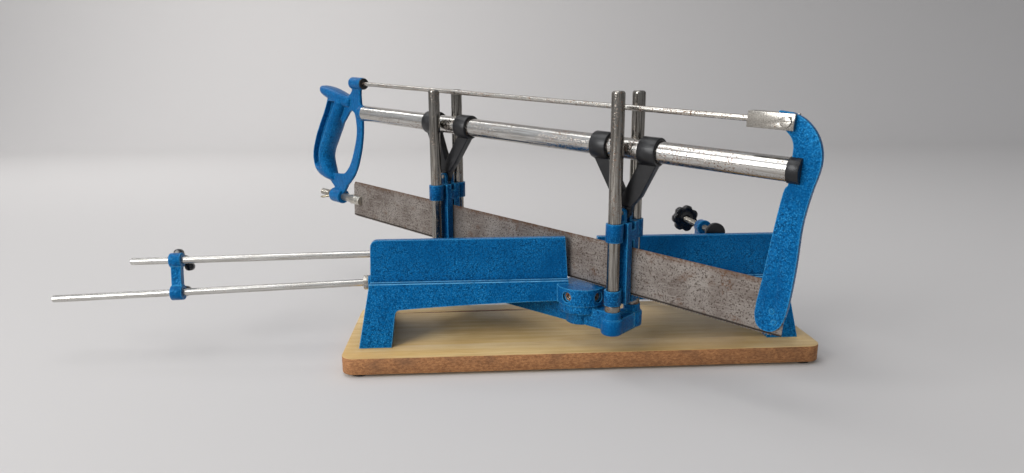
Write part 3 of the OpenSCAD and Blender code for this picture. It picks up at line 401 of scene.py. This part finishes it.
# Steel fittings: bolts, pins, studs and the block that carries the tension rod, machined from
# bar and left bare. The washers on the posts and the screws in their sockets have gone rusty.
def fitting_steel(name, bright, rust_colour, share):
    """Bare machined steel, satin with tool marks of 0.8 mm, and dull rust over about that share
    of it in patches of 3.5 mm."""
    material, shader = blank(name)
    rust = grain(material, 3.5, 0.68 - 0.36 * share, 0.78 - 0.3 * share, detail=6.0)
    fine = grain(material, 0.8, 0.35, 0.65)
    rise = add(material, "Math", rust, add(material, "MapRange", fine, 0, 1, 0, 0.4),
               operation="ADD")
    finish_with(material, shader,
                Base_Color=layered(material, bright, (fine, "#8b867e"), (rust, rust_colour)),
                Metallic=add(material, "MapRange", rust, 0, 1, 0.95, 0.15),
                Roughness=add(material, "MapRange", rust, 0, 1, 0.3, 0.85),
                Normal=add(material, "Bump", sockets={"Height": rise, "Distance": 0.00005}))
    return material


bare_steel = fitting_steel("bare_machined_steel", "#c9c5bd", "#7a5a41", 0.15)
dress(bare_steel, "tension_block", "casting_screws", "pivot_pin", "pivot_washer", "stop_rod_nut",
      "rod_end_nut", "block_screw", "rear_guide_pin", "front_guide_pin", "lock_pad", "stud_pin",
      bevel=0.0002)
dress(fitting_steel("rusty_steel", "#a99f92", "#7b4a2b", 0.75), "hub_set_screws",
      "post_set_screws", bevel=0.0003)
dress(fitting_steel("dull_steel", "#8f8a82", "#6b4a33", 0.4), "stop_washers", bevel=0.0003)


# Threaded pieces: the clamp's and the lock's screws, the blade's stud and the clamp's stud are
# rolled from bright bar, with dirt in the grooves. Their threads have the pitch of their size.
def threaded_steel(name, along, pitch, start):
    """Bare steel whose thread of that pitch starts that far along a direction, both in metres: a
    bump of one ridge a pitch, darker and duller in its grooves."""
    material, shader = blank(name)
    own = add(material, "TexCoord", result="Object")
    run = add(material, "VectorMath", own, along, operation="DOT_PRODUCT")
    turns = add(material, "Math", run, 1 / pitch, operation="MULTIPLY")
    ridge = add(material, "Math", turns, 0.5, operation="PINGPONG")
    past = add(material, "MapRange", run, start, start + pitch)
    height = add(material, "Math", ridge, past, operation="MULTIPLY")
    dirt = add(material, "Math", add(material, "MapRange", ridge, 0.35, 0.0), past,
               operation="MULTIPLY")
    finish_with(material, shader, Metallic=0.9,
                Base_Color=layered(material, "#c3beb3", (dirt, "#5f5245")),
                Roughness=add(material, "MapRange", dirt, 0, 1, 0.28, 0.7),
                Normal=add(material, "Bump", sockets={"Height": height, "Distance": 0.0011}))
    return material


clamp_axis, lock_axis = (-0.0941, 0.9956, 0.0), (-0.7071, 0.7071, 0.0)
whole_length = -1.0
dress(threaded_steel("clamp_screw_thread", clamp_axis, 0.001, whole_length), "clamp_screw",
      bevel=0.0003)
dress(threaded_steel("lock_screw_thread", lock_axis, 0.00125, whole_length), "lock_screw",
      bevel=0.0003)
dress(threaded_steel("tension_stud_thread", saw_axis, 0.00125, 0.411), "blade_stud", bevel=0.0004)
dress(threaded_steel("clamp_stud_thread", (0, 0, 1), 0.001, whole_length), "clamp_stud",
      bevel=0.0003)


# Nylon: the guides that carry the tube, its plug, the rod's grommet and the clamp's pad are
# moulded in black nylon, satin where they are new and greyer where they are handled.
def black_nylon():
    """Satin black nylon with faint grey scuffs and a moulded grain, drawn 0.6 mm coarse."""
    material, shader = blank("moulded_black_nylon")
    scuff = grain(material, 7, 0.55, 0.8, detail=5.0)
    mould = grain(material, 0.6, 0.3, 0.7)
    finish_with(material, shader, Base_Color=layered(material, "#131315", (scuff, "#2c2c2e")),
                Roughness=add(material, "MapRange", scuff, 0, 1, 0.36, 0.55),
                Normal=add(material, "Bump", sockets={"Height": mould, "Distance": 0.00003}))
    return material


nylon = black_nylon()
dress(nylon, "rear_guide", "front_guide", bevel=0.0007)
dress(nylon, "tube_plug", "clamp_pad", "rod_grommet", bevel=0.0004)


# Handle: one aluminium casting in the same enamel. A flat strut stands on the tube's end and
# carries the tension rod's boss above and the blade stud's boss below. The grip is cast hollow on
# both sides, so that a thin rim runs round its palm side, and a thumb rest closes it at the top.
tooth_line, arm_swing, saw_tilt = 0.0792, math.radians(45), math.radians(3.1)
# millimetres along the blade and up from its teeth
tube_end, rod_height, tube_height, stud_height = 339.5, 169.6, 134.0, 21.0
skin_voxel = 0.0007


def in_saw(points):
    """Points across, along and above the blade, in millimetres, put in the part's frame in
    metres: turned up by the tilt, lifted to the teeth and turned by the arm's swing."""
    across, along, up = np.asarray(points, float).reshape(-1, 3).T / 1000
    run = along * math.cos(saw_tilt) - up * math.sin(saw_tilt)
    rise = along * math.sin(saw_tilt) + up * math.cos(saw_tilt) + tooth_line
    return np.stack([across * math.cos(arm_swing) - run * math.sin(arm_swing),
                     across * math.sin(arm_swing) + run * math.cos(arm_swing), rise], -1)


def smooth_path(points, count):
    """A curve through control points, read at evenly spaced parameters: a cubic between each two,
    whose slope at a point is half the step between that point's neighbours."""
    p = np.asarray(points, float)
    p = np.vstack([2 * p[:1] - p[1:2], p, 2 * p[-1:] - p[-2:-1]])
    at = np.linspace(0, len(p) - 3, count)
    i = np.minimum(at.astype(int), len(p) - 4)
    t = (at - i)[:, None]
    a, b, c, d = p[i], p[i + 1], p[i + 2], p[i + 3]
    return 0.5 * (2 * b + (c - a) * t + (2 * a - 5 * b + 4 * c - d) * t ** 2
                  + (3 * b - a - 3 * c + d) * t ** 3)


def solid(rings):
    """A closed tube through rings of points, (rings, points, 3), with a lid at each end."""
    rows, columns = rings.shape[:2]
    faces = grid_faces(rows, columns, closed_columns=True)
    faces.append(list(range(columns))[::-1])
    faces.append(list(range((rows - 1) * columns, rows * columns)))
    return rings.reshape(-1, 3), faces


def fused(name, parts, voxel, smoothing):
    """One skin round several closed solids: their meshes are put together, remeshed in voxels of
    that size in metres and smoothed a number of times."""
    points, faces, start = [], [], 0
    for part_points, part_faces in parts:
        points.append(part_points)
        faces += [[start + i for i in face] for face in part_faces]
        start += len(part_points)
    item = surface(name, np.vstack(points), faces)
    skin = item.modifiers.new("skin", "REMESH")
    skin.mode, skin.voxel_size, skin.use_smooth_shade = "VOXEL", voxel, True
    calm = item.modifiers.new("calm", "SMOOTH")
    calm.factor, calm.iterations = 0.5, smoothing
    return item


def plate(left, right, thick, count=40, corner=0.9):
    """A flat bar between two edge curves given along and up. Its section is an octagon: a
    rectangle from one curve to the other, thick across, whose corners are cut off by corner."""
    one, other = smooth_path(left, count), smooth_path(right, count)
    inward = (other - one) / np.linalg.norm(other - one, axis=1)[:, None] * corner
    half = thick / 2
    rings = []
    for edge, step, heights in (
            (one, inward, (-half + corner, -half)), (other, -inward, (-half, -half + corner)),
            (other, -inward, (half - corner, half)), (one, inward, (half, half - corner))):
        for height, share in zip(heights, np.abs(np.abs(heights) - half + corner) / corner):
            rings.append(np.column_stack([np.full(count, height), edge + step * share]))
    return solid(np.stack(rings, 1))


def bored_boss(outer, bore, start, end, height, chamfer=0.8):
    """A ring round the along axis at that height, with chamfered rims: its profile turned round,
    (radius sin a, along, height + radius cos a)."""
    turn = np.linspace(0, 2 * math.pi, 48, endpoint=False)
    radius = np.array([bore, outer - chamfer, outer, outer, outer - chamfer, bore])
    along = np.array([start, start, start + chamfer, end - chamfer, end, end])
    points = np.stack([np.outer(radius, np.sin(turn)), np.repeat(along[:, None], turn.size, 1),
                       height + np.outer(radius, np.cos(turn))], -1)
    return points.reshape(-1, 3), grid_faces(radius.size, turn.size, True, True)


def grip():
    """The grip as level slices from under the thumb rest down. In a slice s runs from -1 on the
    finger side to 1 on the palm side, and the faces stand (1 - |s|^2.6)^(1/2.4) of the thickness
    out. A pocket sinks both: smooth ramps in s and in height, multiplied together."""
    # height, centre along, half width, half thickness
    stations = np.array([[153, 394, 17.5, 9.0], [146, 395, 18.4, 11.4], [140, 397, 18.0, 12.6],
                         [130, 401.8, 17.8, 13.3], [120, 408.4, 17.4, 13.5],
                         [110, 414.2, 17.8, 13.5], [100, 420.2, 17.6, 13.5],
                         [90, 425.5, 16.6, 13.5], [80, 430.4, 15.6, 13.3], [70, 432.6, 15.4, 13.0],
                         [60, 430.6, 16.6, 12.4], [53, 427.4, 17.0, 11.4], [47, 422.5, 15.5, 9.6],
                         [43, 417.5, 11.5, 7.0], [40.5, 414, 6.0, 4.0]])
    height, centre, wide, thick = smooth_path(stations, 90).T[:, :, None]
    turn = np.linspace(0, 2 * math.pi, 160, endpoint=False)[None, :]
    s = np.cos(turn)
    face = (1 - np.abs(s) ** 2.6) ** (1 / 2.4) * np.sign(np.sin(turn))
    pocket = 0.88
    for share in ((s + 0.36) / 0.16, (0.82 - s) / 0.12, (height - 54) / 8, (146 - height) / 3):
        t = np.clip(share, 0, 1)
        pocket = pocket * t * t * (3 - 2 * t)
    return solid(np.stack([thick * face * (1 - pocket), centre + wide * s, height + 0 * s], -1))


def thumb_rest():
    """A flange that leaves the strut, runs over the grip and ends in a blunt lifted tip. Its
    sections are squared ovals, with |sin a|^0.7 and |cos a|^0.7 as their shares of the half
    height and half thickness, and lean back by a fifth of their height."""
    # along, up, half height, half thickness
    spine = np.array([[367, 145.5, 4.0, 3.4], [369, 145.6, 6.4, 5.6], [376, 147, 7.2, 7.6],
                      [386, 149.5, 7.2, 9.4], [398, 152.4, 7.4, 10.4], [410, 155.0, 7.2, 10.4],
                      [420, 157.2, 6.2, 9.4], [426.5, 158.8, 4.6, 7.2], [430, 159.6, 2.6, 4.6],
                      [431.2, 159.8, 1.0, 2.0]])
    along, up, tall, thick = smooth_path(spine, 50).T[:, :, None]
    turn = np.linspace(0, 2 * math.pi, 48, endpoint=False)[None, :]
    rise = np.sign(np.sin(turn)) * np.abs(np.sin(turn)) ** 0.7
    side = np.sign(np.cos(turn)) * np.abs(np.cos(turn)) ** 0.7
    return solid(np.stack([thick * side, along - 0.2 * tall * rise, up + tall * rise], -1))


def outlined(*pairs):
    """Points given from the tube's end along and from the teeth up, as distances along and up."""
    return [(tube_end + along, up) for along, up in pairs]


strut = plate(outlined((8.5, 168), (9, 158), (8.5, 148), (6.2, 132), (5.3, 120), (6, 107),
                       (8.5, 92), (12.5, 78), (18, 64), (26, 51), (37, 40), (49, 30), (52, 22)),
              outlined((22, 168), (26.5, 159), (33, 151), (27, 140), (20, 131), (17, 116),
                       (18, 103), (22, 90), (27, 77), (32, 67), (40, 57.5), (58, 42), (68, 22)),
              4.6, 60)
top_web = plate(outlined((14, 152), (22, 151), (30, 150), (38, 149), (46, 148), (54, 147)),
                outlined((14, 128), (21.5, 133), (27, 135.3), (33, 132), (40, 124), (48, 116)),
                4.6, 30)
low_web = plate(outlined((84.5, 48), (79.5, 41), (73, 36), (68.5, 32), (67, 27), (65, 18)),
                outlined((41, 53), (38, 47), (40, 38), (44.5, 31), (48.5, 26), (53, 18)), 5.0)
rod_boss = bored_boss(7.3, 2.55, tube_end + 4, tube_end + 26, rod_height)
stud_boss = bored_boss(9.5, 4.05, tube_end + 50.5, tube_end + 71.5, stud_height)
collar = bored_boss(9.5, 2.0, tube_end + 0.02, tube_end + 8, tube_height)
handle_parts = [grip(), thumb_rest(), strut, top_web, low_web, rod_boss, stud_boss, collar]
handle = fused("handle", [(in_saw(points), faces) for points, faces in handle_parts],
               skin_voxel, 4)
handle.data.materials.append(enamel)
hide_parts("handle_casting")
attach(handle, "saw_frame")


# Star knobs: the arm's lock and the work clamp are turned by seven-lobed knobs, moulded in glossy
# black plastic with a hub and a shallow ring round it, and pressed on the screws' ends.
def posed(points, at, axis, up=(0, 0, 1)):
    """Local points put at a place, their z along the axis and their y as near to up as it goes."""
    z = np.array(axis, float) / np.linalg.norm(axis)
    y = np.array(up, float) - np.dot(up, z) * z
    y /= np.linalg.norm(y)
    local = np.asarray(points, float).reshape(-1, 3)
    return np.asarray(at) + local @ np.stack([np.cross(y, z), y, z])


def lathe(radii, heights, columns=64, lobes=0, depth=0.0, closed=False):
    """A profile turned round z. With lobes, a radius loses its depth share, times the square of
    (1 - cos(lobes a)) / 2, in full at the outermost radius and not at all below half of it."""
    a = np.linspace(0, 2 * math.pi, columns, endpoint=False)[None, :]
    radius, height = np.array(radii, float)[:, None], np.array(heights, float)[:, None]
    share = np.clip(radius / radius.max() * 2 - 1, 0, 1)
    radius = radius * (1 - depth * share * ((1 - np.cos(lobes * a)) / 2) ** 2)
    points = np.stack([radius * np.cos(a), radius * np.sin(a), height + 0 * a], -1)
    return points.reshape(-1, 3), grid_faces(len(radii), columns, closed, True)


def black_plastic():
    """Glossy black plastic, greyer in patches of 5 mm where fingers have dulled it."""
    material, shader = blank("glossy_black_plastic")
    dull = grain(material, 5, 0.45, 0.75)
    mould = grain(material, 0.8, 0.3, 0.7)
    finish_with(material, shader, Base_Color=layered(material, "#0e0e10", (dull, "#232325")),
                Roughness=add(material, "MapRange", dull, 0, 1, 0.2, 0.42),
                Normal=add(material, "Bump", sockets={"Height": mould, "Distance": 0.00002}))
    return material


plastic = black_plastic()
knob_size = 0.029
# the knob's profile from bore to bore, as shares of its radius and of its width
rim_shares = np.array([0, 0.36, 0.42, 0.62, 0.82, 0.94, 1.0, 1.0, 0.96, 0.86, 0.6, 0.4, 0.34, 0])
rim_levels = np.array([-0.5, -0.5, -0.38, -0.36, -0.42, -0.4, -0.24, 0.2, 0.38, 0.46, 0.5, 0.48,
                       0.4, 0.4])
for name, axis, width, bore, body in (("lock_knob", lock_axis, 0.014, 0.0081, "lock_screw"),
                                      ("clamp_knob", clamp_axis, 0.0095, 0.0061, "clamp_screw")):
    low, high = np.array(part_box(name))
    outline = rim_shares * knob_size / 2
    outline[[0, -1]] = bore / 2
    points, faces = lathe(outline, rim_levels * width, 112, 7, 0.15, True)
    knob = surface("star_" + name, posed(points, (low + high) / 2, axis), faces)
    knob.data.materials.append(plastic)
    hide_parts(name)
    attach(knob, body)


# Wing nuts: cast and zinc plated, with two upright ears on a tapered hub. One draws the blade's
# stud through the handle, the other holds the clamp's stud under the right table.
zinc = fitting_steel("yellowed_zinc_plate", "#b9ae8e", "#7d6a4a", 0.3)


def wing_nut(name, at, axis, up, hub, tall, bore, span, ears):
    """Hub and ears in one skin, sizes in millimetres: each ear is an oval carried along a curve
    out from the hub, whose distance out, height, half height and half thickness are the control
    points' values, and leans out by a quarter of its height."""
    pieces = [lathe([bore, hub - 0.8, hub, hub * 0.86, hub * 0.86 - 0.8, bore],
                    [0, 0, 0.8, tall - 0.8, tall, tall], 48, closed=True)]
    turn = np.linspace(0, 2 * math.pi, 24, endpoint=False)[None, :]
    reach, height, half, thick = smooth_path(
        [[hub * 0.75, tall * 0.5, tall * 0.42, 1.7], [hub + 1, tall * 0.62, tall * 0.4, 1.5],
         [span / 2 - 3, ears * 0.72, ears * 0.3, 1.5],
         [span / 2 - 0.8, ears * 0.86, ears * 0.24, 1.5],
         [span / 2, ears * 0.9, ears * 0.08, 0.7]], 24).T[:, :, None]
    for side in (-1, 1):
        pieces.append(solid(np.stack([side * (reach + 0.25 * half * np.sin(turn)),
                                      side * thick * np.cos(turn),
                                      height + half * np.sin(turn)], -1)))
    item = fused(name, [(posed(points / 1000, at, axis, up), faces) for points, faces in pieces],
                 0.00035, 2)
    item.data.materials.append(zinc)
    return item


nut_at = in_saw([0, tube_end + 71.8, stud_height])[0]
ear_turn = math.radians(20)
ears_up = np.array([-0.7071, -0.7071, 0]) * math.sin(ear_turn) + [0, 0, math.cos(ear_turn)]
stud_nut = wing_nut("tension_wing_nut", nut_at, saw_axis, ears_up, 6.5, 8.0, 4.1, 26, 13)
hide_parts("wing_nut")
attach(stud_nut, "wing_nut")
low, high = np.array(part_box("clamp_wing_nut"))
under_at = [(low[0] + high[0]) / 2, (low[1] + high[1]) / 2, high[2]]
under_nut = wing_nut("clamp_stud_wing_nut", under_at, (0, 0, -1), clamp_axis, 6.0, 6.0, 3.1, 24, 10)
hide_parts("clamp_wing_nut")
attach(under_nut, "clamp_wing_nut")


# Thumb screws: two steel screws with moulded black heads fix the stop's link. The lower head is
# a knurled drum, the upper one has two round wings.
link_axis = np.array([0.0075, 0.9744, -0.2248])


def winged_head():
    """A head with two wings, in millimetres. Its outline at the angle a is the farthest of two
    circles of radius 4.2 at 8.8 to either side, a bar 4.4 wide between them and a hub of radius
    4.7, and its levels are that outline times a share."""
    centre, radius, half_bar, hub = 8.8, 4.2, 2.2, 4.7
    a = np.linspace(0, 2 * math.pi, 96, endpoint=False)
    across, along = np.abs(np.sin(a)), np.abs(np.cos(a))
    room_left = np.maximum(radius ** 2 - (centre * across) ** 2, 0)
    lobe = np.where(centre * across < radius, centre * along + np.sqrt(room_left), 0)
    bar = np.minimum(half_bar / np.maximum(across, 1e-6), centre / np.maximum(along, 1e-6))
    reach = np.maximum(np.maximum(lobe, bar), hub)
    shares = np.array([0, 0.9, 1.0, 1.0, 0.88, 0])[:, None]
    levels = np.array([14.6, 14.6, 15.2, 21, 21.6, 21.9])[:, None]
    a = a[None, :] + math.radians(52)
    points = np.stack([shares * reach * np.cos(a), shares * reach * np.sin(a), levels + 0 * a], -1)
    return points.reshape(-1, 3), grid_faces(levels.size, a.size, closed_columns=True)


knurled_head = lathe([0, 4.4, 5.25, 5.25, 4.4, 2.6, 0], [14, 14, 14.8, 21.2, 22, 21.6, 21.6],
                     144, 18, 0.1)
for name, beyond, head in (("lower_thumb_screw", [-0.3987, 0.0496, 0.0624], knurled_head),
                           ("upper_thumb_screw", [-0.3997, 0.0568, 0.0935], winged_head())):
    shank = lathe([0, 2.1, 2.5, 2.5, 2.5, 0], [3.9, 3.9, 4.3, 10, 15.5, 15.5], 32)
    points = np.vstack([shank[0], head[0]]) / 1000
    faces = shank[1] + [[i + len(shank[0]) for i in face] for face in head[1]]
    screw = surface("moulded_" + name, posed(points, beyond - 0.015 * link_axis, link_axis), faces)
    screw.data.materials.append(plastic)
    screw.data.materials.append(bare_steel)
    screw.data.polygons.foreach_set("material_index", [1] * len(shank[1]) + [0] * len(head[1]))
    screw.modifiers.new("joined", "WELD").merge_threshold = 2e-6
    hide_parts(name)
    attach(screw, name)
